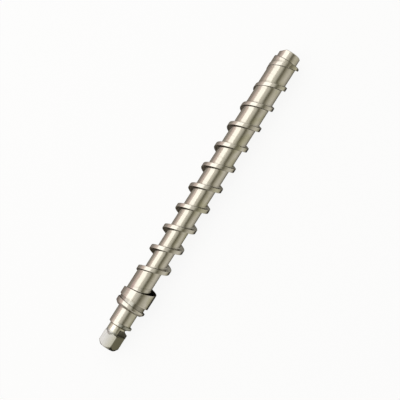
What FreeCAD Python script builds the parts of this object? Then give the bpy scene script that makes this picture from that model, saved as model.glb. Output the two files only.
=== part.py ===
import FreeCAD, Part
import math
import os

# Worm of a small oil press, turned, milled and ground from one steel bar.
# Millimetres. It lies along +X from its drive end to its discharge end, with its
# turning axis on the X axis and the centre of the drive end face at the origin.
# Angles round the axis are measured from the top, +Y, towards the near side, +Z.

# Worm: the flighted body
worm_diameter = 28.0
pitch = 21.8
land_width = 3.8
body_end = 303.6
root_radius_feed = 8.2
root_radius_discharge = 11.8

# Where the land in front of the first channel crosses the top of the worm
first_land = 53.6

# Run-in: the first channel dives from the full diameter to the root over this angle
run_in_start_angle = -90.0
run_in_angle = 265.0

# The collar's front flank is cut back along the run-in, then meets the thread again
entry_cut_start = 0.6
entry_cut_side = 3.3
entry_cut_most = 5.2
entry_side_angle = 90.0
entry_level_angle = 170.0
entry_deepest_angle = 230.0
entry_cut_end_angle = 290.0

# Wear of the lands on one side, towards the discharge end
wear_start = 229.0
wear_tilt = 3.2
wear_radius = 14.05
wear_side_angle = 50.0
worn_land_height = 0.25

# Spigot beyond the body, with a corner worn off on the same side
spigot_diameter = 20.0
spigot_length = 8.7
spigot_chamfer = 0.5
worn_corner = 3.0
worn_corner_angle = 15.0

# Drive head: a square set off the axis
head_across_flats = 14.6
head_corner_diameter = 20.4
head_length = 13.7
head_offset = 1.5
head_face_angle = 60.0
head_chamfer_depth = 3.2
head_chamfer_length = 3.2

# Neck behind the square, with a lead that rises out of the flats
neck_diameter = 15.8
neck_lead_length = 4.0
neck_lead_rise = 1.5

# Notch turned across the rib between the square and the journal
notch_floor_start = 19.6
notch_floor_end = 21.4
notch_flank_run = 2.0
notch_flank_rise = 4.0

# Cam-shaped lug on the edge of the journal
lug_radius = 10.4
lug_end = 25.4

# Journal, thrust flange, groove and collar
journal_diameter = 19.6
flange_start = 38.8
flange_chamfer = 2.2
collar_diameter = 29.1
collar_end = 64.0
collar_taper_length = 6.0
groove_start = 43.9
groove_end = 47.6
groove_depth = 1.6
groove_offset = 0.5
groove_start_lean = 4.9
groove_end_lean = 1.6

# The whole screw is turned this far about its axis, to lie on the collar's full edge
lying_turn = 12.0

# How far cutting shapes reach past the metal, and the step between points on a thread curve
overshoot = 4.0
thread_step = 15.0

worm_radius = worm_diameter / 2
collar_radius = collar_diameter / 2
neck_radius = neck_diameter / 2
journal_radius = journal_diameter / 2
spigot_radius = spigot_diameter / 2
head_corner_radius = head_corner_diameter / 2
channel_width = pitch - land_width
overall_length = body_end + spigot_length

AXIS = FreeCAD.Vector(0, 0, 1)


def turned(profile, centre=(0.0, 0.0)):
    """Solid turned about the axis from points (radius, distance along the axis)."""
    points = [FreeCAD.Vector(radius, 0, along) for radius, along in profile]
    face = Part.Face(Part.makePolygon(points + points[:1]))
    solid = face.revolve(FreeCAD.Vector(0, 0, 0), AXIS, 360)
    solid.translate(FreeCAD.Vector(centre[0], centre[1], 0))
    return solid


def drum(radius, start, end, centre=(0.0, 0.0)):
    """Plain cylinder between two stations on the axis."""
    return Part.makeCylinder(radius, end - start, FreeCAD.Vector(centre[0], centre[1], start))


def around(radius, angle):
    """Point at a radius and an angle from the top, in the section across the axis."""
    return (radius * math.cos(math.radians(angle)), radius * math.sin(math.radians(angle)))


def prism(outline, start, end):
    """Straight bar along the axis with the given outline across it."""
    points = [FreeCAD.Vector(top, near, start) for top, near in outline]
    return Part.Face(Part.makePolygon(points + points[:1])).extrude(AXIS * (end - start))


def lower_corner():
    """The corner of the square that stands furthest from the axis."""
    top, near = around(head_corner_radius, head_face_angle + 135)
    return (top - head_offset, near)


def drive_head():
    """Square with chamfered, turned corners, set off the axis."""
    half = head_across_flats / 2
    block = Part.makeBox(head_across_flats, head_across_flats, head_length, FreeCAD.Vector(-half, -half, 0))
    block.rotate(FreeCAD.Vector(0, 0, 0), AXIS, head_face_angle)
    block.translate(FreeCAD.Vector(-head_offset, 0, 0))
    envelope = turned(
        [
            (0, 0),
            (head_corner_radius - head_chamfer_depth, 0),
            (head_corner_radius, head_chamfer_length),
            (head_corner_radius, head_length),
            (0, head_length),
        ],
        (-head_offset, 0),
    )
    return block.common(envelope)


def neck():
    """Round neck whose lead rises out of the flats of the square."""
    lead_end = head_length + (neck_lead_length - neck_lead_rise) / 2
    return turned(
        [
            (0, lead_end - neck_lead_length),
            (neck_radius - neck_lead_rise, lead_end - neck_lead_length),
            (neck_radius, lead_end),
            (neck_radius, flange_start),
            (0, flange_start),
        ]
    )


def rib():
    """Rib that carries the lower corner of the square on along the neck, up to the notch."""
    corner = lower_corner()
    reach = math.hypot(corner[0], corner[1])
    direction = math.degrees(math.atan2(corner[1], corner[0]))
    tangent = math.degrees(math.acos(neck_radius / reach))
    outline = [corner, around(neck_radius, direction - tangent), (0, 0), around(neck_radius, direction + tangent)]
    run = notch_flank_run * (reach - neck_radius) / notch_flank_rise
    flank = turned(
        [
            (0, head_length),
            (reach + overshoot, head_length),
            (reach, notch_floor_start - run),
            (neck_radius, notch_floor_start),
            (0, notch_floor_start),
        ]
    )
    return prism(outline, head_length, notch_floor_start).common(flank)


def journal():
    """Journal with the cam-shaped lug on its edge, both cut by the far flank of the notch."""
    lug_reach = lug_radius + head_offset
    run = notch_flank_run * (lug_reach - neck_radius) / notch_flank_rise
    body = drum(journal_radius, notch_floor_end, flange_start)
    body = body.fuse(drum(lug_radius, notch_floor_end, lug_end, (-head_offset, 0)))
    flank = turned(
        [
            (0, notch_floor_end),
            (neck_radius, notch_floor_end),
            (lug_reach, notch_floor_end + run),
            (lug_reach, flange_start),
            (0, flange_start),
        ]
    )
    return body.common(flank)


def groove():
    """Ring cut between the flange and the collar, leaning and a little off the axis."""
    reach = collar_radius + overshoot
    start_lean = math.tan(math.radians(groove_start_lean)) * reach
    end_lean = math.tan(math.radians(groove_end_lean)) * reach
    outline = [
        FreeCAD.Vector(-reach, -reach, groove_start - start_lean),
        FreeCAD.Vector(reach, -reach, groove_start + start_lean),
        FreeCAD.Vector(reach, -reach, groove_end + end_lean),
        FreeCAD.Vector(-reach, -reach, groove_end - end_lean),
    ]
    wedge = Part.Face(Part.makePolygon(outline + outline[:1])).extrude(FreeCAD.Vector(0, 2 * reach, 0))
    floor = drum(
        collar_radius - groove_depth,
        groove_start - overshoot,
        groove_end + overshoot,
        (groove_offset, 0),
    )
    return wedge.cut(floor)


def floor_radius(angle):
    """Floor of the channel at an angle counted along the thread: the run-in, then the rising root."""
    run_in_end = run_in_start_angle + run_in_angle
    if angle < run_in_end:
        share = (angle - run_in_start_angle) / run_in_angle
        return collar_radius + share * (root_radius_feed - collar_radius)
    last_angle = 360 * (body_end - first_land) / pitch
    share = (angle - run_in_end) / (last_angle - run_in_end)
    return root_radius_feed + share * (root_radius_discharge - root_radius_feed)


def entry_cut(angle):
    """How far the channel's first flank is cut back into the collar at an angle of the thread."""
    if angle <= 0:
        return entry_cut_start
    stations = (
        (0.0, entry_cut_start),
        (entry_side_angle, entry_cut_side),
        (entry_level_angle, entry_cut_side),
        (entry_deepest_angle, entry_cut_most),
        (entry_cut_end_angle, 0.0),
    )
    for (before, cut_before), (after, cut_after) in zip(stations, stations[1:]):
        if angle <= after:
            return cut_before + (angle - before) / (after - before) * (cut_after - cut_before)
    return 0.0


def channel_turn(first_angle):
    """One full turn of the channel from an angle of the thread, from its floor out past the lands."""
    steps = round(360 / thread_step)
    angles = [first_angle + 360 * i / steps for i in range(steps + 1)]
    outside = collar_radius + overshoot
    middle = first_land + pitch / 2
    rails = []
    ends = []
    for side, is_floor in ((-1, True), (1, True), (1, False), (-1, False)):
        points = []
        for angle in angles:
            radius = floor_radius(angle) if is_floor else outside
            top, near = around(radius, angle)
            along = middle + pitch * angle / 360 + side * channel_width / 2
            if side < 0:
                along -= entry_cut(angle)
            points.append(FreeCAD.Vector(top, near, along))
        curve = Part.BSplineCurve()
        curve.interpolate(Points=points, Parameters=angles)
        rails.append(curve.toShape())
        ends.append((points[0], points[-1]))
    faces = [Part.makeRuledSurface(rails[i], rails[(i + 1) % 4]) for i in range(4)]
    for end in (0, 1):
        corners = [pair[end] for pair in ends]
        faces.append(Part.Face(Part.makePolygon(corners + corners[:1])))
    shell = Part.Shell(faces)
    shell.sewShape()
    solid = Part.Solid(shell)
    if solid.Volume < 0:
        solid.reverse()
    return solid


def worm_blank():
    """Flange, collar and body before threading, with the lands worn down on one side."""
    flange = turned(
        [
            (0, flange_start),
            (collar_radius - flange_chamfer, flange_start),
            (collar_radius, flange_start + flange_chamfer),
            (collar_radius, collar_end),
            (worm_radius, collar_end + collar_taper_length),
            (worm_radius, wear_start),
            (0, wear_start),
        ]
    )
    full = drum(worm_radius, wear_start, body_end)
    leaning = drum(wear_radius, wear_start - body_end, 2 * (body_end - wear_start))
    leaning.rotate(FreeCAD.Vector(0, 0, 0), FreeCAD.Vector(0, 1, 0), -wear_tilt)
    leaning.rotate(FreeCAD.Vector(0, 0, 0), AXIS, wear_side_angle)
    leaning.translate(AXIS * wear_start)
    root = turned(
        [
            (0, wear_start),
            (floor_radius(360 * (wear_start - first_land) / pitch) + worn_land_height, wear_start),
            (root_radius_discharge + worn_land_height, body_end),
            (0, body_end),
        ]
    )
    worn = full.common(leaning).fuse(root)
    return flange.fuse(worn)


def worm():
    """Flange, collar and body with the groove and every turn of the channel cut out."""
    solid = worm_blank().cut(groove())
    first_edge = first_land + (pitch - channel_width) / 2
    turns = math.ceil((body_end - first_edge) / pitch - run_in_start_angle / 360)
    for turn in range(turns):
        solid = solid.cut(channel_turn(run_in_start_angle + 360 * turn))
    return solid


def spigot():
    """Short spigot past the body, with a chamfer and one worn corner."""
    solid = turned(
        [
            (0, body_end),
            (spigot_radius, body_end),
            (spigot_radius, overall_length - spigot_chamfer),
            (spigot_radius - spigot_chamfer, overall_length),
            (0, overall_length),
        ]
    )
    reach = spigot_diameter
    cutter = Part.makeBox(reach, 2 * reach, reach, FreeCAD.Vector(0, -reach, 0))
    cutter.rotate(FreeCAD.Vector(0, 0, 0), FreeCAD.Vector(0, 1, 0), -45)
    cutter.translate(FreeCAD.Vector(spigot_radius, 0, overall_length - worn_corner))
    cutter.rotate(FreeCAD.Vector(0, 0, 0), AXIS, worn_corner_angle)
    return solid.cut(cutter)


def press_screw():
    """The whole screw, built upright on its drive end and then laid along +X."""
    screw = worm().multiFuse([drive_head(), neck(), rib(), journal(), spigot()])
    screw.rotate(FreeCAD.Vector(0, 0, 0), FreeCAD.Vector(1, 1, 1), 120)
    screw.rotate(FreeCAD.Vector(0, 0, 0), FreeCAD.Vector(1, 0, 0), lying_turn)
    return screw


os.makedirs("parts", exist_ok=True)
solid = press_screw()
solid.exportStep("parts/press_screw.step")
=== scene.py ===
import math

import bpy
import numpy as np
from mathutils import Matrix, Vector


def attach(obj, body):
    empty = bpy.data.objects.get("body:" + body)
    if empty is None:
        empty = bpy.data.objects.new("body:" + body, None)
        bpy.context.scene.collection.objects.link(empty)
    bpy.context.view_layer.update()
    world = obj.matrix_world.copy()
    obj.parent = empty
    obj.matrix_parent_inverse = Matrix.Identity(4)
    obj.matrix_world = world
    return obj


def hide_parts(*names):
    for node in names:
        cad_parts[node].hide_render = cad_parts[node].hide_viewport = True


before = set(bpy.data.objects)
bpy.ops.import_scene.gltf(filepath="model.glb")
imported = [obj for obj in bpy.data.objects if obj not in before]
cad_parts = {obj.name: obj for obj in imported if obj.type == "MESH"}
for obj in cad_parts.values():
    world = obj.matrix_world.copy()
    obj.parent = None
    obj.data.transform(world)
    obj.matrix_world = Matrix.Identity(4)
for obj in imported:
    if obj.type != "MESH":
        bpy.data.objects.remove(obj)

bl_info = {
    "name": "Oil press screw",
    "version": (1, 0, 0),
    "blender": (4, 5, 0),
    "location": "View3D > Sidebar > Press Screw",
    "description": "Ground steel skin, material and studio for an oil press screw",
    "category": "Object",
}

# Millimetres and degrees. X runs along the axis from the drive end to the discharge end.
# Before the screw turns to its lying position, Z points to the camera and Y across the view.
# Angles round the axis go from +Y towards +Z, counted before that turn.
MM = 0.001

WORM_RADIUS = 14.0
COLLAR_RADIUS = 14.55
COLLAR_END = 64.0
COLLAR_TAPER = 6.0
PITCH = 21.8
LAND_WIDTH = 3.8
BODY_END = 303.6
ROOT_FEED = 8.2
ROOT_DISCHARGE = 11.8
FIRST_LAND = 53.6
RUN_IN_START = -90.0
RUN_IN_ANGLE = 265.0
ENTRY_ANGLES = (0.0, 90.0, 170.0, 230.0, 290.0)
ENTRY_CUTS = (0.6, 3.3, 3.3, 5.2, 0.0)

WEAR_START = 229.0
WEAR_TILT = 3.2
WEAR_RADIUS = 14.05
WEAR_SIDE = 50.0
WORN_LAND = 0.25

SPIGOT_RADIUS = 10.0
SPIGOT_LENGTH = 8.7
SPIGOT_CHAMFER = 0.5
WORN_CORNER = 3.0
WORN_CORNER_ANGLE = 15.0

HEAD_HALF = 7.3
HEAD_CORNER = 10.2
HEAD_LENGTH = 13.7
HEAD_OFFSET = 1.5
HEAD_FACE_ANGLE = 60.0
HEAD_CHAMFER_DEPTH = 3.2
HEAD_CHAMFER_LENGTH = 3.2

NECK_RADIUS = 7.9
LEAD_LENGTH = 4.0
LEAD_RISE = 1.5

NOTCH_START = 19.6
NOTCH_END = 21.4
NOTCH_SLOPE = 2.0
LUG_RADIUS = 10.4
LUG_END = 25.4

JOURNAL_RADIUS = 9.8
FLANGE_START = 38.8
FLANGE_CHAMFER = 2.2
GROOVE_START = 43.9
GROOVE_END = 47.6
GROOVE_DEPTH = 1.6
GROOVE_OFFSET = 0.5
GROOVE_START_LEAN = 4.9
GROOVE_END_LEAN = 1.6
COLLAR_RING = 49.0

# The screw is turned this far about its axis, from +Y towards +Z, to lie on the collar's full edge
LYING_TURN = 12.0

# Distance from the right edge of a land to the seam of the helical strip
SEAM_INSET = 0.6
OVERALL_LENGTH = BODY_END + SPIGOT_LENGTH
HALF_LAND = LAND_WIDTH / 2

# Points of the skin: turns and shares down a flank, points on a floor and a land, steps along the axis
ROUNDING = (0, 30, 60, 90)
FLANK_SHARES = (0.33, 0.67, 1.0)
FLOOR_POINTS = 8
LAND_POINTS = 5
RING_STEP = 0.25
RIB_STEP = 0.3
EDGE_MIDDLE = 0.3
EDGE_WORN = 0.4
SHARP_ANGLE = 38
FAR_AWAY = 1e3
LEAST_SLOPE = 0.05
HALFWAY = 0.5
HEAD_STATIONS = (4.5, 7.0)
LEAD_GAP = 0.2
SPIGOT_GAP = 1.0
BEFORE_WEAR = (2.0, 0.2, 0.0)
BLEND_RINGS = 9
CROWD = (-2.6, -1.7, -1.0, -0.5, 0.0, 0.5, 1.0, 1.7, 2.6)

# Broken edges of the flange's chamfer: how far along and how far down, in edges
FACE_EDGE = ((0.0, 1.0), (0.35, 0.1))
RIM_EDGE = ((-0.7, 0.7), (-0.2, 0.3), (0.7, 0.0))

# Light of the room at half strength: degrees from the camera's side towards +Y, and its colour
ROOM_LIGHT = (
    (-100, (0.41, 0.40, 0.36)),
    (-80, (0.35, 0.34, 0.30)),
    (-60, (0.28, 0.27, 0.23)),
    (-45, (0.18, 0.17, 0.135)),
    (-34, (0.09, 0.085, 0.06)),
    (-27, (0.06, 0.055, 0.035)),
    (-20, (0.13, 0.125, 0.10)),
    (-10, (0.30, 0.295, 0.26)),
    (2, (0.38, 0.37, 0.33)),
    (16, (0.38, 0.37, 0.33)),
    (45, (0.30, 0.29, 0.26)),
    (66, (0.36, 0.33, 0.305)),
    (78, (0.44, 0.385, 0.35)),
    (100, (0.32, 0.28, 0.26)),
)

WHITE = (1.0, 1.0, 1.0)

# Camera in millimetres and softbox in metres, before they turn with the screw
CAMERA_PLACE = (127.6, -1.4, 768.0)
CAMERA_TARGET = (156.2, -1.4, 0.0)
CAMERA_ROLL = 57.6
SOFTBOX_TILT = 43
SOFTBOX_DISTANCE = 0.9
SOFTBOX_SIZE = (1.3, 0.8)
FLOOR_SIZE = 6

# Floor as the metal mirrors it, in metres across: its colours, and where the screw's shadow ends
FLOOR_GREY = (0.9, 0.9, 0.9, 1.0)
FLOOR_SIDES = ((0.0, (0.72, 0.70, 0.62)), (1.0, (0.24, 0.22, 0.20)))
FLOOR_BLEND = 0.08
FLOOR_CLEAR_NEAR = (-0.004, -0.011)
FLOOR_CLEAR_FAR = (0.012, 0.05)

# Noises of the finishes: scale, detail and roughness, and their stretch along and across the axis
RINGS_NOISE = (0.45, 2.0, 0.6)
BRUSHED_NOISE = (1.0, 3.0, 0.65)
OIL_NOISE = (0.055, 3.0, 0.55)
BLOOM_NOISE = (0.09, 3.0, 0.6)
SPOTS_NOISE = (0.35, 4.0, 0.6)
MARKS_NOISE = (1.0, 3.0, 0.6)
STRETCH = {"patches": (1.0, 1.6), "marks": (2.4, 0.12), "brushed": (0.12, 0.9)}
MARKS_STRENGTH = 0.3
MARKS_HEIGHT = 0.00005

# Where the finishes, the painted shade and the painted highlights of the worm and the collar lie:
# angles, or distances along, across and out
WORM_SPAN = (GROOVE_END + 1, BODY_END - 0.2, 0.2)
COLLAR_FADE = (COLLAR_END + 2, COLLAR_END + COLLAR_TAPER)
COLLAR_SPAN = (38.0, 66.0, 4.0)
# Span of the collar that takes the painted shadow of the lands' outer edge
SHADED_COLLAR = (FLANGE_START + FLANGE_CHAMFER, COLLAR_END + 3, 0.5)
WORN_LANDS = (WEAR_START - 4, WEAR_START + 6)
LAND_SIDE = (HALF_LAND + 0.3, HALF_LAND)
CHANNEL_SIDE = (HALF_LAND, HALF_LAND + 0.7)
CHANNEL_DEPTH = (WORM_RADIUS - 0.4, WORM_RADIUS - 1.1)
CORNER_BEHIND = (-HALF_LAND - 0.6, -HALF_LAND, 0.2)
CORNER_AHEAD = (HALF_LAND, HALF_LAND + 1.7, 0.8)
CORNER_DEPTH = (WORM_RADIUS - 0.6, WORM_RADIUS - 1.4)
TIP_HEIGHT = (WORM_RADIUS - 1.1, WORM_RADIUS - 0.5)
TIP_SIDE = (153, 214, 8)
OIL_AND_SHADE_SIDE = (100, 330, 16)
BLOOM_AND_REFLECTION_SIDE = (8, 52, 12)
BLOOM_OFF_COLLAR = 0.45
FLANK_FACING = (0.55, 0.85)
ENTRY_COVER = (40, 150, 0.55, 0.99)

# Where the finishes, the painted shade and the painted highlights of the drive end lie, in the same way
SQUARE_END = (HEAD_LENGTH + 2.9, HEAD_LENGTH + 1.7)
LOWER_FROM = (112, 118)
LOWER_TO = (300, 280)
SHADED_SIDE = (5.0, -3.0)
CHAMFER_INSIDE = (1.5, 0.7)
CHAMFER_END = (HEAD_CHAMFER_LENGTH + 2.0, HEAD_CHAMFER_LENGTH + 1.0)
RIB_SPAN = (HEAD_LENGTH + 0.5, NOTCH_START + 0.4, 0.4)
RIB_SIDE = (262, 250)
NECK_SPAN = (HEAD_LENGTH + 1.8, NOTCH_END + 0.2, 0.8)
LUG_SPAN = (NOTCH_END + 0.4, LUG_END + 0.2, 0.3)
LUG_HEIGHT = (JOURNAL_RADIUS + 0.1, LUG_RADIUS - 0.1)
GROOVE_SPAN = (GROOVE_START - 2.9, GROOVE_END + 1.0, 0.1)
GROOVE_HEIGHT = (COLLAR_RADIUS - 0.1, COLLAR_RADIUS - 0.35)
GLINT_SIDE = (80, 96, 7)
GLINT_SURROUND = (76, 100, 8)
WALL_SPAN = (FLANGE_START - 0.8, GROOVE_END + 1.9, 0.3)
WALL_FACING = (0.9, 0.97)
ARC_SPAN = (FLANGE_START + 1.2, FLANGE_START + 1.55, 0.15)
ARC_SIDE = (20, 130, 12)
END_LINE = (BODY_END - 0.5, BODY_END + 0.45, 0.2)

# Colours of the drive end that no setting holds; the shaded grey is painted shade and the neck's colour
# a painted highlight
SQUARE_GREY = (0.54, 0.55, 0.55)
SHADED_GREY = (0.38, 0.375, 0.31)
NECK_HIGHLIGHT = (0.82, 0.80, 0.70)
LUG_GREY = (0.36, 0.37, 0.34)

# Values of the noises between which a finish appears
GRAIN = {"oil": (0.46, 0.62), "bloom": (0.36, 0.56), "streaks": (0.42, 0.30), "lines": (0.42, 0.28)}

# Values of the spots, and how much the residue and painted shade cover at each
SPOTS = {
    "corner": (0.35, 0.6, 0.35, 0.8),
    "behind": (0.35, 0.65, 0.7, 0.98),
    "rib": (0.3, 0.7, 0.8, 1.0),
}

# How much of the steel each finish, painted shade and painted highlight covers, how dull it is, and how
# dark its colour is
COVER = {
    "root": 0.8,
    "oil": 0.75,
    "streaks": 0.22,
    "lines": 0.25,
    "corner_ahead": 0.25,
    "tips": 0.92,
    "square": 0.9,
    "shaded": 0.9,
    "dark": 0.95,
    "neck": 0.8,
    "lug": 0.7,
    "groove": 0.45,
    "glint": 0.9,
    "arcs": 0.6,
    "walls": 0.8,
}
DULLNESS = {"behind": 0.9, "tips": 0.8, "corner": 0.6, "oil": 0.25, "square": 0.5}
SHADE = {"streaks": 0.6, "lines": 0.55, "tips": 0.5, "black": 0.35}
DULL_ROUGHNESS = 0.55
SPOT_ROUGHNESS = (0.3, 0.7, -0.03, 0.05)


def cosine(angle):
    """Cosine of degrees."""
    return np.cos(np.radians(angle))


def circle_from_axis(angle, radius, offset, direction=0.0):
    """Distance from the axis to a circle whose centre lies offset towards a direction."""
    along = offset * cosine(angle - direction)
    return along + np.sqrt(radius**2 - offset**2 + along**2)


def floor_radius(angle):
    """Floor of the channel at an angle of the thread: the run-in, then the rising root."""
    run_in_end = RUN_IN_START + RUN_IN_ANGLE
    last = 360 * (BODY_END - FIRST_LAND) / PITCH
    diving = COLLAR_RADIUS + (angle - RUN_IN_START) / RUN_IN_ANGLE * (ROOT_FEED - COLLAR_RADIUS)
    rising = ROOT_FEED + (angle - run_in_end) / (last - run_in_end) * (ROOT_DISCHARGE - ROOT_FEED)
    return np.where(angle < run_in_end, diving, rising)


def entry_cut(angle):
    """How far the collar's front flank is cut back along the run-in."""
    return np.interp(angle, ENTRY_ANGLES, ENTRY_CUTS)


def land_radius(along, angle):
    """Top of the lands: full, or worn by a cylinder that leans away from the worn side."""
    full = np.interp(along, [COLLAR_END, COLLAR_END + COLLAR_TAPER], [COLLAR_RADIUS, WORM_RADIUS])
    shift = np.maximum(along - WEAR_START, 0.0) * math.tan(math.radians(WEAR_TILT))
    leaning = circle_from_axis(angle, WEAR_RADIUS, -shift, WEAR_SIDE)
    start = floor_radius(np.array(360 * (WEAR_START - FIRST_LAND) / PITCH))
    share = (along - WEAR_START) / (BODY_END - WEAR_START)
    least = start + share * (ROOT_DISCHARGE - start) + WORN_LAND
    return np.where(along > WEAR_START, np.maximum(np.minimum(full, leaning), least), full)


def strip_profile(angle, edge, fillet, draft):
    """Rows (offset from the land's centre, radius) across one pitch at each thread angle."""
    centre = FIRST_LAND + PITCH * angle / 360
    half = HALF_LAND
    floor = floor_radius(angle)
    rows = []
    near_top = land_radius(centre + half, angle)
    far_top = land_radius(centre + PITCH - half, angle)
    zero = np.zeros_like(angle)
    cut = entry_cut(angle)
    for top, side in ((near_top, 1), (far_top, -1)):
        height = np.maximum(top - floor, 0.0)
        e = np.minimum(edge, height / 2)
        f = np.minimum(fillet, height / 2)
        d = np.minimum(draft, height / 2)
        wall = []
        for turn in ROUNDING:
            wall.append(
                (
                    half - e + e * math.sin(math.radians(turn)),
                    top - e + e * math.cos(math.radians(turn)),
                )
            )
        for share in FLANK_SHARES:
            wall.append((half + d * share, top - e + share * (floor + f - top + e)))
        for turn in ROUNDING[1:]:
            wall.append(
                (
                    half + d + f - f * math.cos(math.radians(turn)),
                    floor + f - f * math.sin(math.radians(turn)),
                )
            )
        if side > 0:
            rows.append((half - SEAM_INSET - cut, land_radius(centre + half - SEAM_INSET, angle)))
            rows.extend((w - cut, r) for w, r in wall)
            first = wall[-1][0] - cut
        else:
            last = PITCH - wall[-1][0]
            for share in np.linspace(0, 1, FLOOR_POINTS)[1:-1]:
                rows.append((first + share * (last - first), floor))
            rows.extend((PITCH - w, r) for w, r in reversed(wall))
    start = rows[-1][0]
    end = PITCH + half - SEAM_INSET - entry_cut(angle + 360)
    for share in np.linspace(0, 1, LAND_POINTS)[1:]:
        offset = start + share * (end - start)
        rows.append((offset, land_radius(centre + offset, angle)))
    offsets = np.stack([row[0] + zero for row in rows], axis=1)
    radii = np.stack([row[1] + zero for row in rows], axis=1)
    radii = np.minimum(radii, land_radius(centre[:, None] + offsets, angle[:, None]))
    return centre, offsets, radii


def worm_grid(columns, edge, fillet, draft):
    """Points of the helical strip, one row of points for each step of the thread angle.

    x = first land + pitch * angle / 360 + offset, radius from strip_profile, cut at the body end.
    """
    seam = HALF_LAND - SEAM_INSET
    last_angle = 360 * (BODY_END - FIRST_LAND - seam) / PITCH
    steps = math.ceil((last_angle - RUN_IN_START) * columns / 360)
    angle = RUN_IN_START + 360 * np.arange(steps + 1) / columns
    centre, offsets, radii = strip_profile(angle, edge, fillet, draft)
    end = BODY_END - centre
    for i in np.nonzero(offsets[:, -1] > end)[0]:
        cut = np.interp(end[i], offsets[i], radii[i])
        radii[i] = np.where(offsets[i] > end[i], cut, radii[i])
        offsets[i] = np.minimum(offsets[i], end[i])
    return np.repeat(angle[:, None], offsets.shape[1], axis=1), centre[:, None] + offsets, radii


def collar_grid(strip, columns):
    """Points of the collar between its ring and the helical left border of the strip."""
    angle, along, _ = strip
    border = along[0]
    seam = along[: columns + 1, :1]
    share = (seam - seam[0]) / (seam[-1] - seam[0])
    x = border[0] + (border - border[0])[None, :] * share
    x = np.concatenate([np.full((columns + 1, 1), COLLAR_RING), x], axis=1)
    theta = np.repeat(angle[: columns + 1, :1], x.shape[1], axis=1)
    return theta, x, land_radius(x, theta)


def square_radius(angle, corner):
    """Distance from the axis to the offset square with rounded corners."""
    radius = np.full_like(angle, FAR_AWAY)
    for k in range(4):
        normal = HEAD_FACE_ANGLE + 90 * k
        reach = HEAD_HALF - HEAD_OFFSET * cosine(normal)
        slope = cosine(angle - normal)
        nearer = np.minimum(radius, reach / np.maximum(slope, LEAST_SLOPE))
        radius = np.where(slope > LEAST_SLOPE, nearer, radius)
    inset = (HEAD_HALF - corner) * math.sqrt(2)
    for k in range(4):
        direction = math.radians(HEAD_FACE_ANGLE + 45 + 90 * k)
        centre = Vector((inset * math.cos(direction) - HEAD_OFFSET, inset * math.sin(direction)))
        bearing = math.degrees(math.atan2(centre.y, centre.x))
        along = centre.length * cosine(angle - bearing)
        inside = corner**2 - centre.length**2 + along**2
        arc = along + np.sqrt(np.maximum(inside, 0.0))
        hit = np.stack([arc * cosine(angle) - centre.x, arc * np.sin(np.radians(angle)) - centre.y])
        outward = np.degrees(np.arctan2(hit[1], hit[0])) - math.degrees(direction)
        outward = (outward + 180) % 360 - 180
        radius = np.where((inside > 0) & (np.abs(outward) <= 45) & (along > 0), arc, radius)
    return radius


def corner_bearings():
    """Angles at which the square's corners are seen from the axis."""
    reach = HEAD_HALF * math.sqrt(2)
    bearings = []
    for k in range(4):
        direction = math.radians(HEAD_FACE_ANGLE + 45 + 90 * k)
        across = reach * math.cos(direction) - HEAD_OFFSET
        bearings.append(math.degrees(math.atan2(reach * math.sin(direction), across)))
    return sorted((bearing + 90) % 360 - 90 for bearing in bearings)


def head_columns(columns):
    """Column angles from -90 to 270 that crowd at the square's corners."""
    bearings = corner_bearings()
    stops = [bearing + offset for bearing in bearings for offset in CROWD]
    free = columns - len(stops)
    gaps = []
    for k, bearing in enumerate(bearings):
        after = bearings[(k + 1) % 4] + (360 if k == 3 else 0)
        gaps.append((bearing + CROWD[-1], after + CROWD[0]))
    total = sum(end - start for start, end in gaps)
    counts = [round(free * (end - start) / total) for start, end in gaps]
    counts[-1] += free - sum(counts)
    for (start, end), count in zip(gaps, counts):
        stops.extend(start + (end - start) * (np.arange(count) + 1) / (count + 1))
    angles = np.sort((np.array(stops) + 90) % 360 - 90)
    return np.concatenate([angles, angles[:1] + 360])


def rib_radius(angle):
    """Distance from the axis to the rib that runs on from the square's lowest corner."""
    reach = HEAD_HALF * math.sqrt(2)
    direction = math.radians(HEAD_FACE_ANGLE + 135)
    corner = Vector((reach * math.cos(direction) - HEAD_OFFSET, reach * math.sin(direction)))
    bearing = math.degrees(math.atan2(corner.y, corner.x))
    tangent = math.degrees(math.acos(NECK_RADIUS / corner.length))
    away = (angle - bearing + 180) % 360 - 180
    line = NECK_RADIUS / np.maximum(cosine(tangent - np.abs(away)), LEAST_SLOPE)
    return np.where(np.abs(away) < tangent, line, NECK_RADIUS)


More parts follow.
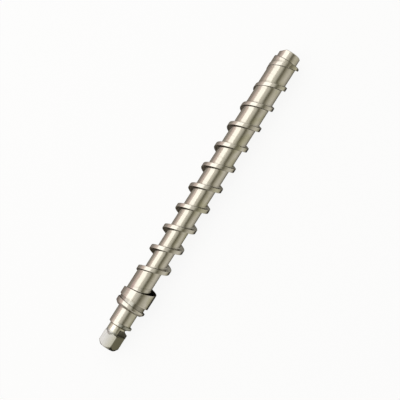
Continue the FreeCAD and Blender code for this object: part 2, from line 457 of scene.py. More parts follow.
def drive_rings(columns, edge, corner):
    """Rings (angles, x, radius) of the drive end, from the end face to the collar."""
    uneven = head_columns(columns)
    even = -90 + 360 * np.arange(columns + 1) / columns
    rings = []

    def add(x, radius, angle):
        rings.append((angle, x + 0 * angle, radius + 0 * angle))

    square = square_radius(uneven, corner)
    lead_end = HEAD_LENGTH + (LEAD_LENGTH - LEAD_RISE) / 2
    lead_start = lead_end - LEAD_LENGTH

    def turned(x):
        cut = HEAD_CHAMFER_DEPTH * max(1 - x / HEAD_CHAMFER_LENGTH, 0.0)
        return circle_from_axis(uneven, HEAD_CORNER - cut, -HEAD_OFFSET)

    def neck(x):
        return NECK_RADIUS - LEAD_RISE * min(max((lead_end - x) / LEAD_LENGTH, 0.0), 1.0)

    end_face = np.minimum(square, turned(0.0))
    add(0.0, 0.0, uneven)
    add(0.0, end_face * HALFWAY, uneven)
    add(0.0, end_face - edge, uneven)
    middle = edge * EDGE_MIDDLE
    add(middle, np.minimum(square, turned(middle)) - middle, uneven)
    for x in np.arange(edge, HEAD_CHAMFER_LENGTH, RING_STEP):
        add(x, np.minimum(square, turned(x)), uneven)
    for x in (HEAD_CHAMFER_LENGTH, *HEAD_STATIONS, lead_start):
        add(x, np.minimum(square, turned(x)), uneven)
    for x in np.arange(lead_start + LEAD_GAP, HEAD_LENGTH - edge, RING_STEP):
        add(x, np.maximum(np.minimum(square, turned(x)), neck(x)), uneven)
    rib = rib_radius(uneven)
    rear = np.maximum(np.minimum(square, turned(HEAD_LENGTH)), neck(HEAD_LENGTH))
    behind = np.maximum(neck(HEAD_LENGTH), np.minimum(rib, rear))
    add(HEAD_LENGTH - edge, rear, uneven)
    add(HEAD_LENGTH - middle, np.maximum(rear - middle, behind), uneven)
    add(HEAD_LENGTH, np.maximum(rear - edge, behind), uneven)
    add(HEAD_LENGTH, behind, uneven)
    for x in np.arange(HEAD_LENGTH + RIB_STEP, NOTCH_START, RIB_STEP):
        flank = NECK_RADIUS + (NOTCH_START - x) * NOTCH_SLOPE
        add(x, np.maximum(neck(x), np.minimum(rib, flank)), uneven)
    add(NOTCH_START, NECK_RADIUS, uneven)
    add(NOTCH_END, NECK_RADIUS, uneven)
    lug = np.maximum(circle_from_axis(uneven, LUG_RADIUS, -HEAD_OFFSET), JOURNAL_RADIUS)
    journal_edge = NOTCH_END + (JOURNAL_RADIUS - NECK_RADIUS) / NOTCH_SLOPE
    for x in np.append(np.arange(NOTCH_END + RING_STEP, LUG_END - edge, RING_STEP), journal_edge):
        flank = NECK_RADIUS + (x - NOTCH_END) * NOTCH_SLOPE
        add(x, np.minimum(lug, flank), uneven)
    rings.sort(key=lambda ring: ring[1][0])
    add(LUG_END - edge, lug, uneven)
    add(LUG_END - middle, np.maximum(lug - middle, JOURNAL_RADIUS), uneven)
    add(LUG_END, np.maximum(lug - edge, JOURNAL_RADIUS), uneven)
    add(LUG_END, JOURNAL_RADIUS, uneven)
    for share in np.linspace(0, 1, BLEND_RINGS)[1:]:
        blend = uneven + (even - uneven) * share
        add(LUG_END + share * (FLANGE_START - LUG_END), JOURNAL_RADIUS, blend)
    face = COLLAR_RADIUS - FLANGE_CHAMFER
    for along, down in FACE_EDGE:
        add(FLANGE_START + edge * along, face - edge * down, even)
    for along, down in RIM_EDGE:
        add(FLANGE_START + FLANGE_CHAMFER + edge * along, COLLAR_RADIUS - edge * down, even)
    height = COLLAR_RADIUS * cosine(even)
    start = GROOVE_START + math.tan(math.radians(GROOVE_START_LEAN)) * height
    end = GROOVE_END + math.tan(math.radians(GROOVE_END_LEAN)) * height
    floor = circle_from_axis(even, COLLAR_RADIUS - GROOVE_DEPTH, GROOVE_OFFSET)
    add(start - edge, COLLAR_RADIUS, even)
    add(start - middle, COLLAR_RADIUS - middle, even)
    add(start, COLLAR_RADIUS - edge, even)
    add(start, floor, even)
    add(end, floor, even)
    add(end, COLLAR_RADIUS - edge, even)
    add(end + middle, COLLAR_RADIUS - middle, even)
    add(end + edge, COLLAR_RADIUS, even)
    add(COLLAR_RING, COLLAR_RADIUS, even)
    return tuple(np.stack(part, axis=1) for part in zip(*rings))


def spigot_radius(x, angle):
    """Distance from the axis to the spigot, with its chamfer and worn corner."""
    chamfered = SPIGOT_RADIUS - max(x - (OVERALL_LENGTH - SPIGOT_CHAMFER), 0.0)
    slope = cosine(angle - WORN_CORNER_ANGLE)
    worn = (SPIGOT_RADIUS + OVERALL_LENGTH - WORN_CORNER - x) / np.maximum(slope, LEAST_SLOPE)
    return np.where(slope > LEAST_SLOPE, np.minimum(chamfered, worn), chamfered)


def discharge_rings(strip, columns, edge):
    """Rings of the body's end face and the spigot, starting at the cut end of the strip."""
    angle, _, radius = strip
    theta = angle[-columns - 1 :, -1]
    border = radius[-columns - 1 :, -1].copy()
    border[0] = border[-1]
    rings = []

    def add(x, r):
        rings.append((theta, x + 0 * theta, r + 0 * theta))

    add(BODY_END, border)
    add(BODY_END, SPIGOT_RADIUS + (border - SPIGOT_RADIUS) * HALFWAY)
    add(BODY_END, SPIGOT_RADIUS)
    wear = OVERALL_LENGTH - WORN_CORNER
    plain_stations = [BODY_END + SPIGOT_GAP, *(wear - gap for gap in BEFORE_WEAR)]
    worn_stations = np.arange(wear + RING_STEP, OVERALL_LENGTH - edge, RING_STEP)
    for x in np.concatenate([plain_stations, worn_stations]):
        add(x, spigot_radius(x, theta))
    middle = edge * EDGE_MIDDLE
    last = spigot_radius(OVERALL_LENGTH, theta)
    before = spigot_radius(OVERALL_LENGTH - middle, theta)
    add(OVERALL_LENGTH - middle, np.minimum(before, last + edge * EDGE_WORN))
    add(OVERALL_LENGTH, last - middle)
    add(OVERALL_LENGTH, last * HALFWAY)
    add(OVERALL_LENGTH, 0.0)
    return tuple(np.stack(part, axis=1) for part in zip(*rings))


def welded_mesh(name, grids):
    """One mesh from grids of (angle, x, radius), with points that coincide joined."""
    points = []
    quads = []
    first = 0
    for angle, x, radius in grids:
        turn = np.radians(angle + LYING_TURN)
        xyz = np.stack([x, radius * np.cos(turn), radius * np.sin(turn)], axis=2)
        rows, cols = x.shape
        index = first + np.arange(rows * cols).reshape(rows, cols)
        corners = [index[:-1, :-1], index[1:, :-1], index[1:, 1:], index[:-1, 1:]]
        quads.append(np.stack(corners, axis=2).reshape(-1, 4))
        points.append(xyz.reshape(-1, 3))
        first += rows * cols
    points = np.concatenate(points)
    quads = np.concatenate(quads)
    rounded = np.round(points, 3) + 0.0
    _, picked, inverse = np.unique(rounded, axis=0, return_index=True, return_inverse=True)
    quads = inverse.reshape(-1)[quads]
    moved = quads != np.roll(quads, -1, axis=1)
    faces = quads[moved.all(axis=1)].tolist()
    triangles = moved.sum(axis=1) == 3
    for quad, keep in zip(quads[triangles], moved[triangles]):
        faces.append(quad[keep].tolist())
    mesh = bpy.data.meshes.new(name)
    mesh.from_pydata((points[picked] * MM).tolist(), [], faces)
    mesh.validate()
    mesh.update()
    return mesh


class ScrewSkinSettings(bpy.types.PropertyGroup):
    """Sizes of the steel skin that are too small for the frame."""

    columns: bpy.props.IntProperty(
        name="Columns",
        description="Points round the axis in each ring",
        default=180,
        min=90,
        max=190,
    )
    land_edge: bpy.props.FloatProperty(
        name="Land edge",
        description="Radius worn on the edges of the flight",
        default=0.00025,
        unit="LENGTH",
    )
    root_fillet: bpy.props.FloatProperty(
        name="Root fillet",
        description="Radius between the flight and the root",
        default=0.0007,
        unit="LENGTH",
    )
    flank_draft: bpy.props.FloatProperty(
        name="Flank draft",
        description="How far each flank leans over its height",
        default=0.00015,
        unit="LENGTH",
    )
    shoulder_edge: bpy.props.FloatProperty(
        name="Shoulder edge",
        description="Edge broken on the turned shoulders",
        default=0.0002,
        unit="LENGTH",
    )
    square_corner: bpy.props.FloatProperty(
        name="Square corner",
        description="Radius on the long corners of the drive square",
        default=0.0004,
        unit="LENGTH",
    )


class SteelSettings(bpy.types.PropertyGroup):
    """Colour and finish of the steel, with the colours of its painted shade and painted highlights."""

    base_color: bpy.props.FloatVectorProperty(
        name="Steel",
        description="Colour of the clean steel",
        default=(0.66, 0.63, 0.57),
        subtype="COLOR",
        size=3,
        min=0.0,
        max=1.0,
    )
    roughness: bpy.props.FloatProperty(
        name="Roughness",
        description="Roughness of the ground steel",
        default=0.2,
        subtype="FACTOR",
        min=0.0,
        max=1.0,
    )
    root_color: bpy.props.FloatVectorProperty(
        name="Root",
        description="Colour of the channel's floor, which seed oil has yellowed",
        default=(0.63, 0.60, 0.53),
        subtype="COLOR",
        size=3,
        min=0.0,
        max=1.0,
    )
    # Olive of the dried oil, also painted shade on the side away from the softbox
    olive_and_shade_color: bpy.props.FloatVectorProperty(
        name="Oil film",
        description="Colour of the patches of dried oil",
        default=(0.55, 0.53, 0.39),
        subtype="COLOR",
        size=3,
        min=0.0,
        max=1.0,
    )
    # Rusty bloom, also the pink of a painted reflection on the band facing the softbox
    bloom_and_reflection_color: bpy.props.FloatVectorProperty(
        name="Bloom",
        description="Colour of the faint rusty bloom",
        default=(0.62, 0.52, 0.50),
        subtype="COLOR",
        size=3,
        min=0.0,
        max=1.0,
    )
    # Dark residue, also laid as painted shade in the corners, on the trailing flanks, on the collar's
    # flank, on the lands' lower side and in the drive end's recesses
    residue_and_shade_color: bpy.props.FloatVectorProperty(
        name="Residue",
        description="Colour of the pressed residue behind the flight and in the corners",
        default=(0.11, 0.10, 0.085),
        subtype="COLOR",
        size=3,
        min=0.0,
        max=1.0,
    )
    # Dark scale, also painted shade on the square's lower faces
    scale_and_shade_color: bpy.props.FloatVectorProperty(
        name="Scale",
        description="Colour of the dark scale on the drive square",
        default=(0.25, 0.24, 0.175),
        subtype="COLOR",
        size=3,
        min=0.0,
        max=1.0,
    )
    # Polish, also the colour of the painted glint in the groove and of the painted reflection on the
    # pressing flanks
    polish_and_highlight_color: bpy.props.FloatVectorProperty(
        name="Polish",
        description="Colour of the faces that the seed keeps polished",
        default=(0.93, 0.92, 0.89),
        subtype="COLOR",
        size=3,
        min=0.0,
        max=1.0,
    )
    edge_tint: bpy.props.FloatVectorProperty(
        name="Edge tint",
        description="Tint of the steel seen at a shallow angle",
        default=(0.22, 0.21, 0.19),
        subtype="COLOR",
        size=3,
        min=0.0,
        max=1.0,
    )


class StudioSettings(bpy.types.PropertyGroup):
    """Camera and lamps."""

    lens: bpy.props.FloatProperty(
        name="Lens",
        description="Focal length of the camera in millimetres",
        default=76.6,
    )
    key_strength: bpy.props.FloatProperty(
        name="Softbox",
        description="Power of the large softbox",
        default=3.4,
        unit="POWER",
    )
    room_strength: bpy.props.FloatProperty(
        name="Room",
        description="Strength of the light that the room gives back",
        default=2.0,
    )
    floor_white: bpy.props.FloatProperty(
        name="Floor white",
        description="How far the floor reads as white to the camera",
        default=0.9,
        subtype="FACTOR",
        min=0.0,
        max=1.0,
    )
    floor_mirrored: bpy.props.FloatProperty(
        name="Floor in the metal",
        description="How far the lit floor shows in reflections",
        default=0.65,
        subtype="FACTOR",
        min=0.0,
        max=1.0,
    )


def darker(color, share):
    """A settings colour with all its values lowered to a share."""
    return tuple(value * share for value in color)


class Wires:
    """Short ways to add nodes to one node tree; a value is a number, a colour or a socket."""

    def __init__(self, tree):
        self.tree = tree

    def node(self, kind):
        return self.tree.nodes.new(kind)

    def put(self, socket, value):
        if isinstance(value, bpy.types.NodeSocket):
            self.tree.links.new(value, socket)
        else:
            socket.default_value = value

    def math(self, operation, *values):
        """One sum on numbers."""
        node = self.node("ShaderNodeMath")
        node.operation = operation
        for socket, value in zip(node.inputs, values):
            self.put(socket, value)
        return node.outputs[0]

    def product(self, *values):
        """All the numbers multiplied."""
        total = values[0]
        for value in values[1:]:
            total = self.math("MULTIPLY", total, value)
        return total

    def most(self, *values):
        """The largest of the numbers."""
        largest = values[0]
        for value in values[1:]:
            largest = self.math("MAXIMUM", largest, value)
        return largest

    def distance(self, a, b):
        """How far a point with these two coordinates lies from zero."""
        squares = self.math("ADD", self.math("POWER", a, 2), self.math("POWER", b, 2))
        return self.math("SQRT", squares)

    def rest(self, value):
        """What is left of 1."""
        return self.math("SUBTRACT", 1.0, value)

    def split(self, vector):
        node = self.node("ShaderNodeSeparateXYZ")
        self.put(node.inputs[0], vector)
        return node.outputs

    def join(self, x, y, z):
        node = self.node("ShaderNodeCombineXYZ")
        for socket, value in zip(node.inputs, (x, y, z)):
            self.put(socket, value)
        return node.outputs[0]

    def span(self, value, start, end, low=0.0, high=1.0):
        """Straight from low to high while the value goes from start to end."""
        node = self.node("ShaderNodeMapRange")
        for socket, number in zip(node.inputs, (value, start, end, low, high)):
            self.put(socket, number)
        return node.outputs[0]

    def rise(self, value, start, end):
        """Smoothly from 0 to 1 while the value goes from start to end."""
        node = self.node("ShaderNodeMapRange")
        node.interpolation_type = "SMOOTHSTEP"
        for socket, number in zip(node.inputs, (value, start, end, 0.0, 1.0)):
            self.put(socket, number)
        return node.outputs[0]

    def band(self, value, start, end, soft):
        """1 between start and end, with soft borders."""
        rising = self.rise(value, start - soft, start + soft)
        falling = self.rise(value, end + soft, end - soft)
        return self.math("MULTIPLY", rising, falling)

    def noise(self, vector, scale, detail, roughness):
        node = self.node("ShaderNodeTexNoise")
        self.put(node.inputs["Vector"], vector)
        self.put(node.inputs["Scale"], scale)
        self.put(node.inputs["Detail"], detail)
        self.put(node.inputs["Roughness"], roughness)
        return node.outputs["Fac"]

    def ramp(self, value, stops):
        """Colours at the given stops, blended between them."""
        node = self.node("ShaderNodeValToRGB")
        elements = node.color_ramp.elements
        while len(elements) < len(stops):
            elements.new(1.0)
        for element, (position, color) in zip(elements, stops):
            element.position = position
            element.color = (*color, 1.0)
        self.put(node.inputs[0], value)
        return node.outputs[0]

    def tint(self, factor, base, color):
        """The base colour with another one laid over it by the factor."""
        node = self.node("ShaderNodeMix")
        node.data_type = "RGBA"
        self.put(node.inputs["Factor"], factor)
        for name, value in (("A", base), ("B", color)):
            socket = next(s for s in node.inputs if s.name == name and s.type == "RGBA")
            self.put(socket, value if isinstance(value, bpy.types.NodeSocket) else (*value, 1.0))
        return next(s for s in node.outputs if s.type == "RGBA")


class PRESSSCREW_OT_build_skin(bpy.types.Operator):
    """Build the steel skin of the whole screw"""

    bl_idname = "press_screw.build_skin"
    bl_label = "Build steel skin"

    def execute(self, context):
        sizes = context.scene.press_screw_skin
        edge = sizes.shoulder_edge / MM
        small = (sizes.land_edge / MM, sizes.root_fillet / MM, sizes.flank_draft / MM)
        strip = worm_grid(sizes.columns, *small)
        grids = [
            drive_rings(sizes.columns, edge, sizes.square_corner / MM),
            collar_grid(strip, sizes.columns),
            strip,
            discharge_rings(strip, sizes.columns, edge),
        ]
        mesh = welded_mesh("steel_skin", grids)
        mesh.shade_smooth()
        mesh.set_sharp_from_angle(angle=math.radians(SHARP_ANGLE))
        skin = bpy.data.objects.new("steel_skin", mesh)
        context.scene.collection.objects.link(skin)
        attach(skin, "root")
        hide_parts("press_screw")
        return {"FINISHED"}


class PRESSSCREW_OT_finish_steel(bpy.types.Operator):
    """Give the skin its ground steel, with its painted shade and painted highlights"""

    bl_idname = "press_screw.finish_steel"
    bl_label = "Finish steel"

    def execute(self, context):
        look = context.scene.press_screw_steel
        material = bpy.data.materials.new("ground_steel")
        material.use_nodes = True
        shader = material.node_tree.nodes["Principled BSDF"]
        shader.inputs["Metallic"].default_value = 1.0
        shader.inputs["Specular Tint"].default_value = (*look.edge_tint, 1.0)
        wires = Wires(material.node_tree)
        places = self.places(wires)
        color, roughness = self.finish(wires, places, look)
        wires.put(shader.inputs["Base Color"], color)
        wires.put(shader.inputs["Roughness"], roughness)
        bump = wires.node("ShaderNodeBump")
        bump.inputs["Strength"].default_value = MARKS_STRENGTH
        bump.inputs["Distance"].default_value = MARKS_HEIGHT
        wires.put(bump.inputs["Height"], wires.noise(places["marks"], *MARKS_NOISE))
        wires.put(shader.inputs["Normal"], bump.outputs[0])
        bpy.data.objects["steel_skin"].data.materials.append(material)
        return {"FINISHED"}

    def places(self, wires):
        """Where a point lies on the screw, in millimetres and degrees, and the masks made from it."""
        coordinates = wires.node("ShaderNodeTexCoord")
        turned = wires.node("ShaderNodeMapping")
        turned.inputs["Rotation"].default_value = (-math.radians(LYING_TURN), 0.0, 0.0)
        wires.put(turned.inputs["Vector"], coordinates.outputs["Object"])
        x, y, z = (wires.product(part, 1 / MM) for part in wires.split(turned.outputs[0]))
        facing, _, _ = wires.split(coordinates.outputs["Normal"])
        turn = wires.math("DIVIDE", wires.math("ARCTAN2", z, y), 2 * math.pi)
        angle = wires.product(wires.math("FRACT", turn), 360)
        radius = wires.distance(y, z)
        along = wires.math("DIVIDE", wires.math("SUBTRACT", x, FIRST_LAND), PITCH)
        thread = wires.math("FRACT", wires.math("ADD", wires.math("SUBTRACT", along, turn), 0.5))
        offset = wires.product(wires.math("SUBTRACT", thread, 0.5), PITCH)
        worm = wires.band(x, *WORM_SPAN)
        beyond = wires.rise(x, *COLLAR_FADE)
        flank = wires.rise(wires.math("ABSOLUTE", facing), *FLANK_FACING)
        ahead = wires.math("GREATER_THAN", facing, 0.0)
        places = {
            "x": x,
            "y": y,
            "z": z,
            "angle": angle,
            "radius": radius,
            "offset": offset,
            "facing": facing,
            "worm": worm,
            "land": wires.product(worm, beyond, wires.rise(wires.math("ABSOLUTE", offset), *LAND_SIDE)),
            "trailing": wires.product(worm, flank, wires.rest(ahead)),
            "pressing": wires.product(worm, beyond, flank, ahead),
            "collar_flank": wires.product(worm, flank, ahead, wires.rest(beyond)),
        }
        for name, (lengthwise, across) in STRETCH.items():
            scaled = (wires.product(x, lengthwise), wires.product(y, across), wires.product(z, across))
            places[name] = wires.join(*scaled)
        return places

    def finish(self, wires, places, look):
        """Colour and roughness of the steel, laid up from clean metal to residue and painted shade."""
        x, angle, offset, radius = (places[name] for name in ("x", "angle", "offset", "radius"))
        patches, worm, land = (places[name] for name in ("patches", "worm", "land"))
        rings = wires.noise(places["marks"], *RINGS_NOISE)
        brushed = wires.noise(places["brushed"], *BRUSHED_NOISE)
        broad = wires.noise(patches, *OIL_NOISE)
        fine = wires.noise(patches, *SPOTS_NOISE)
        residue_and_shade = tuple(look.residue_and_shade_color)

        floor = wires.product(
            worm,
            wires.rise(wires.math("ABSOLUTE", offset), *CHANNEL_SIDE),
            wires.rise(radius, *CHANNEL_DEPTH),
            COVER["root"],
        )
        color = wires.tint(floor, tuple(look.base_color), tuple(look.root_color))
        # Patches of dried oil, kept to the side turned away from the softbox, where the olive also
        # stands for painted shade
        oil = wires.product(wires.rise(broad, *GRAIN["oil"]), wires.band(angle, *OIL_AND_SHADE_SIDE), COVER["oil"])
        color = wires.tint(oil, color, tuple(look.olive_and_shade_color))
        # Patches of rusty bloom, kept to the band that faces the softbox, where the pink also stands for
        # a painted reflection of the room
        bloom = wires.product(
            wires.band(angle, *BLOOM_AND_REFLECTION_SIDE),
            wires.span(wires.band(x, *COLLAR_SPAN), 0.0, 1.0, BLOOM_OFF_COLLAR, 1.0),
            wires.rise(wires.noise(patches, *BLOOM_NOISE), *GRAIN["bloom"]),
        )
        color = wires.tint(bloom, color, tuple(look.bloom_and_reflection_color))
        streaks = wires.product(wires.rise(brushed, *GRAIN["streaks"]), COVER["streaks"])
        color = wires.tint(streaks, color, darker(look.base_color, SHADE["streaks"]))
        lines = wires.product(wires.rise(rings, *GRAIN["lines"]), COVER["lines"])
        color = wires.tint(lines, color, darker(look.root_color, SHADE["lines"]))

        # Painted shade in the corners between the lands and the floor, broken by spots of residue
        corner_ahead = wires.product(wires.band(offset, *CORNER_AHEAD), COVER["corner_ahead"])
        corner = wires.product(
            worm,
            wires.most(wires.band(offset, *CORNER_BEHIND), corner_ahead),
            wires.rise(radius, *CORNER_DEPTH),
        )
        color = wires.tint(wires.product(corner, wires.span(fine, *SPOTS["corner"])), color, residue_and_shade)
        # Polish on the pressing flanks, painted pale as a painted reflection of the white floor
        color = wires.tint(places["pressing"], color, tuple(look.polish_and_highlight_color))
        # Dark residue in spots and painted shade over the trailing flanks
        behind = wires.product(places["trailing"], wires.span(fine, *SPOTS["behind"]))
        color = wires.tint(behind, color, residue_and_shade)
        # Painted shade on the collar's flank at the run-in, darker towards the bottom
        entry_shade = wires.product(places["collar_flank"], wires.span(angle, *ENTRY_COVER))
        color = wires.tint(entry_shade, color, darker(residue_and_shade, SHADE["black"]))
        # Painted shadow on the outer edge of the lands and the collar, on the side turned to -Y
        lands_and_collar = wires.most(land, wires.band(x, *SHADED_COLLAR))
        outer = wires.product(wires.rise(radius, *TIP_HEIGHT), lands_and_collar)
        outer = wires.most(outer, wires.product(land, wires.rise(x, *WORN_LANDS)))
        tip_shade = wires.product(outer, wires.band(angle, *TIP_SIDE), wires.rest(places["pressing"]))
        color = wires.tint(wires.product(tip_shade, COVER["tips"]), color, darker(residue_and_shade, SHADE["tips"]))
        color, rough = self.drive_end(wires, places, look, color, fine)

        dull = wires.most(
            wires.product(places["trailing"], DULLNESS["behind"]),
            wires.product(tip_shade, DULLNESS["tips"]),
            rough,
            wires.product(corner, DULLNESS["corner"]),
            wires.product(oil, DULLNESS["oil"]),
        )
        roughness = wires.span(dull, 0.0, 1.0, look.roughness, DULL_ROUGHNESS)
        roughness = wires.math("ADD", roughness, wires.span(fine, *SPOT_ROUGHNESS))
        return color, roughness

    def drive_end(self, wires, places, look, color, fine):
        """Scale and painted shade on the square's lower faces, painted shade on its upper faces, lower
        chamfer, rib, groove and shoulders, and painted highlights on the neck and in the groove.
        """
        x, y, z, angle = (places[name] for name in ("x", "y", "z", "angle"))
        radius = places["radius"]
        residue_and_shade = tuple(look.residue_and_shade_color)
        square = wires.rise(x, *SQUARE_END)
        lower = wires.product(wires.rise(angle, *LOWER_FROM), wires.rise(angle, *LOWER_TO))
        above = wires.rest(lower)
        upper = wires.product(square, above)
        color = wires.tint(wires.product(upper, COVER["square"]), color, SQUARE_GREY)
        # Painted shade on the square's upper faces, darker towards -Y
        shaded = wires.product(upper, wires.span(y, *SHADED_SIDE, 0.0, COVER["shaded"]))
        color = wires.tint(shaded, color, SHADED_GREY)
        # Dark scale and painted shade on the square's lower faces
        color = wires.tint(wires.product(square, lower), color, tuple(look.scale_and_shade_color))

        # Painted shade, nearly black, on the lower side of the end chamfer and on the rib, with spots on
        # the rib
        reach = wires.distance(wires.math("ADD", y, HEAD_OFFSET), z)
        inside = wires.math("SUBTRACT", wires.math("ADD", x, HEAD_CORNER - HEAD_CHAMFER_DEPTH), reach)
        chamfer = wires.product(wires.rise(inside, *CHAMFER_INSIDE), wires.rise(x, *CHAMFER_END), lower)
        rib = wires.product(wires.band(x, *RIB_SPAN), lower, wires.rise(angle, *RIB_SIDE))
        dark = wires.most(chamfer, wires.product(rib, wires.span(fine, *SPOTS["rib"])))
        color = wires.tint(wires.product(dark, COVER["dark"]), color, darker(residue_and_shade, SHADE["black"]))
        # Painted highlight on the upper side of the neck
        neck = wires.product(wires.band(x, *NECK_SPAN), above, COVER["neck"])
        color = wires.tint(neck, color, NECK_HIGHLIGHT)
        lug = wires.product(wires.band(x, *LUG_SPAN), wires.rise(radius, *LUG_HEIGHT), COVER["lug"])
        color = wires.tint(lug, color, LUG_GREY)

        # Painted shade in the groove away from its glint
        groove = wires.product(wires.band(x, *GROOVE_SPAN), wires.rise(radius, *GROOVE_HEIGHT))
        unlit = wires.product(groove, wires.rest(wires.band(angle, *GLINT_SURROUND)), COVER["groove"])
        color = wires.tint(unlit, color, residue_and_shade)
        # Painted glint along a band of the groove's floor
        glint = wires.product(groove, wires.band(angle, *GLINT_SIDE), COVER["glint"])
        color = wires.tint(glint, color, tuple(look.polish_and_highlight_color))
        # Painted shade on the shoulder walls, on an arc of the flange's chamfer and along the body's end
        # edge
        upright = wires.rise(wires.math("ABSOLUTE", places["facing"]), *WALL_FACING)
        shoulders = wires.product(wires.band(x, *WALL_SPAN), upright)
        arcs = wires.product(wires.band(x, *ARC_SPAN), wires.band(angle, *ARC_SIDE), COVER["arcs"])
        walls = wires.most(shoulders, arcs, wires.band(x, *END_LINE))
        color = wires.tint(wires.product(walls, COVER["walls"]), color, residue_and_shade)
        return color, wires.most(wires.product(square, DULLNESS["square"]), walls, dark)


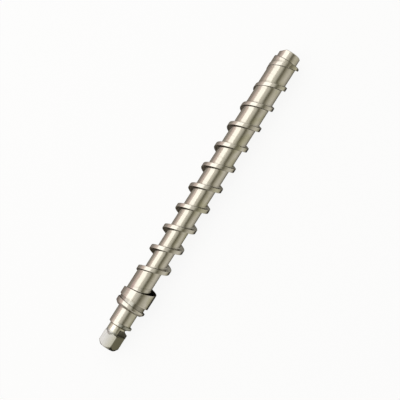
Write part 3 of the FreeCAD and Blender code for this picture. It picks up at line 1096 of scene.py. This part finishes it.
class PRESSSCREW_OT_set_stage(bpy.types.Operator):
    """Set the floor, the lamps and the camera"""

    bl_idname = "press_screw.set_stage"
    bl_label = "Set stage"

    def execute(self, context):
        studio = context.scene.press_screw_studio
        scene = context.scene
        bpy.ops.mesh.primitive_plane_add(size=FLOOR_SIZE, location=(0, 0, -COLLAR_RADIUS * MM))
        floor = context.object
        floor.name = "floor"
        floor.data.materials.append(self.floor_material(studio))
        scene.world = self.room(studio.room_strength)
        self.softbox(studio.key_strength)
        self.camera(scene, studio.lens)
        scene.view_settings.view_transform = "Standard"
        return {"FINISHED"}

    def room(self, strength):
        """Room whose light changes from side to side of the screw and reads as white to the camera."""
        world = bpy.data.worlds.new("room")
        world.use_nodes = True
        tree = world.node_tree
        wires = Wires(tree)
        light = tree.nodes["Background"]
        way = wires.node("ShaderNodeTexCoord").outputs["Generated"]
        _, y, z = wires.split(way)
        around = wires.math("ADD", wires.math("ARCTAN2", y, z), math.radians(LYING_TURN))
        bearing = wires.span(around, -math.pi, math.pi)
        stops = [(0.5 + degrees / 360, color) for degrees, color in ROOM_LIGHT]
        wires.put(light.inputs["Color"], wires.ramp(bearing, stops))
        light.inputs["Strength"].default_value = strength
        white = wires.node("ShaderNodeBackground")
        white.inputs["Color"].default_value = (*WHITE, 1.0)
        path = wires.node("ShaderNodeLightPath")
        seen = wires.most(path.outputs["Is Camera Ray"], path.outputs["Is Transmission Ray"])
        mix = wires.node("ShaderNodeMixShader")
        wires.put(mix.inputs["Fac"], seen)
        wires.put(mix.inputs[1], light.outputs[0])
        wires.put(mix.inputs[2], white.outputs[0])
        wires.put(tree.nodes["World Output"].inputs["Surface"], mix.outputs[0])
        return world

    def floor_material(self, studio):
        """Pale floor that reads as white to the camera and keeps the shadow."""
        material = bpy.data.materials.new("floor")
        material.use_nodes = True
        tree = material.node_tree
        tree.nodes.clear()
        wires = Wires(tree)
        diffuse = wires.node("ShaderNodeBsdfDiffuse")
        diffuse.inputs["Color"].default_value = FLOOR_GREY
        white = wires.node("ShaderNodeEmission")
        path = wires.node("ShaderNodeLightPath")
        _, across, _ = wires.split(wires.node("ShaderNodeTexCoord").outputs["Object"])
        side = wires.ramp(wires.span(across, -FLOOR_BLEND, FLOOR_BLEND), FLOOR_SIDES)
        camera = path.outputs["Is Camera Ray"]
        wires.put(white.inputs["Color"], wires.tint(camera, side, WHITE))
        mirrored = wires.most(path.outputs["Is Glossy Ray"], path.outputs["Is Transmission Ray"])
        clear = wires.most(wires.rise(across, *FLOOR_CLEAR_NEAR), wires.rise(across, *FLOOR_CLEAR_FAR))
        factor = wires.most(
            wires.product(camera, studio.floor_white),
            wires.product(mirrored, clear, studio.floor_mirrored),
        )
        mix = wires.node("ShaderNodeMixShader")
        wires.put(mix.inputs["Fac"], factor)
        wires.put(mix.inputs[1], diffuse.outputs[0])
        wires.put(mix.inputs[2], white.outputs[0])
        wires.put(wires.node("ShaderNodeOutputMaterial").inputs["Surface"], mix.outputs[0])
        return material

    def softbox(self, power):
        """Large area lamp between overhead and +Y that faces the screw."""
        turn = math.radians(SOFTBOX_TILT - LYING_TURN)
        middle = Vector((OVERALL_LENGTH / 2 * MM, 0, 0))
        data = bpy.data.lights.new("softbox", "AREA")
        data.shape = "RECTANGLE"
        data.size, data.size_y = SOFTBOX_SIZE
        data.energy = power
        lamp = bpy.data.objects.new("softbox", data)
        bpy.context.scene.collection.objects.link(lamp)
        lamp.location = middle + SOFTBOX_DISTANCE * Vector((0, math.sin(turn), math.cos(turn)))
        lamp.rotation_euler = (-turn, 0, 0)

    def camera(self, scene, lens):
        """Camera above the lying screw, rolled as in the photo."""
        lean = Matrix.Rotation(math.radians(LYING_TURN), 3, "X")
        place = lean @ Vector(CAMERA_PLACE) * MM
        target = lean @ Vector(CAMERA_TARGET) * MM
        roll = math.radians(CAMERA_ROLL)
        back = (place - target).normalized()
        along = Vector((1, 0, 0))
        along = (along - along.dot(back) * back).normalized()
        across = back.cross(along)
        right = math.cos(roll) * along - math.sin(roll) * across
        up = math.sin(roll) * along + math.cos(roll) * across
        data = bpy.data.cameras.new("camera")
        data.lens = lens
        camera = bpy.data.objects.new("camera", data)
        camera.matrix_world = Matrix(
            (
                (right.x, up.x, back.x, place.x),
                (right.y, up.y, back.y, place.y),
                (right.z, up.z, back.z, place.z),
                (0, 0, 0, 1),
            )
        )
        scene.collection.objects.link(camera)
        scene.camera = camera


class PRESSSCREW_PT_panel(bpy.types.Panel):
    """Steps that build the screw's look"""

    bl_label = "Press Screw"
    bl_idname = "PRESSSCREW_PT_panel"
    bl_space_type = "VIEW_3D"
    bl_region_type = "UI"
    bl_category = "Press Screw"

    def draw(self, context):
        layout = self.layout
        layout.operator("press_screw.build_skin")
        layout.operator("press_screw.finish_steel")
        layout.operator("press_screw.set_stage")


CLASSES = (
    ScrewSkinSettings,
    SteelSettings,
    StudioSettings,
    PRESSSCREW_OT_build_skin,
    PRESSSCREW_OT_finish_steel,
    PRESSSCREW_OT_set_stage,
    PRESSSCREW_PT_panel,
)


def register():
    for cls in CLASSES:
        bpy.utils.register_class(cls)
    bpy.types.Scene.press_screw_skin = bpy.props.PointerProperty(type=ScrewSkinSettings)
    bpy.types.Scene.press_screw_steel = bpy.props.PointerProperty(type=SteelSettings)
    bpy.types.Scene.press_screw_studio = bpy.props.PointerProperty(type=StudioSettings)


def unregister():
    del bpy.types.Scene.press_screw_studio
    del bpy.types.Scene.press_screw_steel
    del bpy.types.Scene.press_screw_skin
    for cls in reversed(CLASSES):
        bpy.utils.unregister_class(cls)


def main():
    """Build everything."""
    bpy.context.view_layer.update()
    register()
    bpy.ops.press_screw.build_skin()
    bpy.ops.press_screw.finish_steel()
    bpy.ops.press_screw.set_stage()


if __name__ == "__main__":
    main()
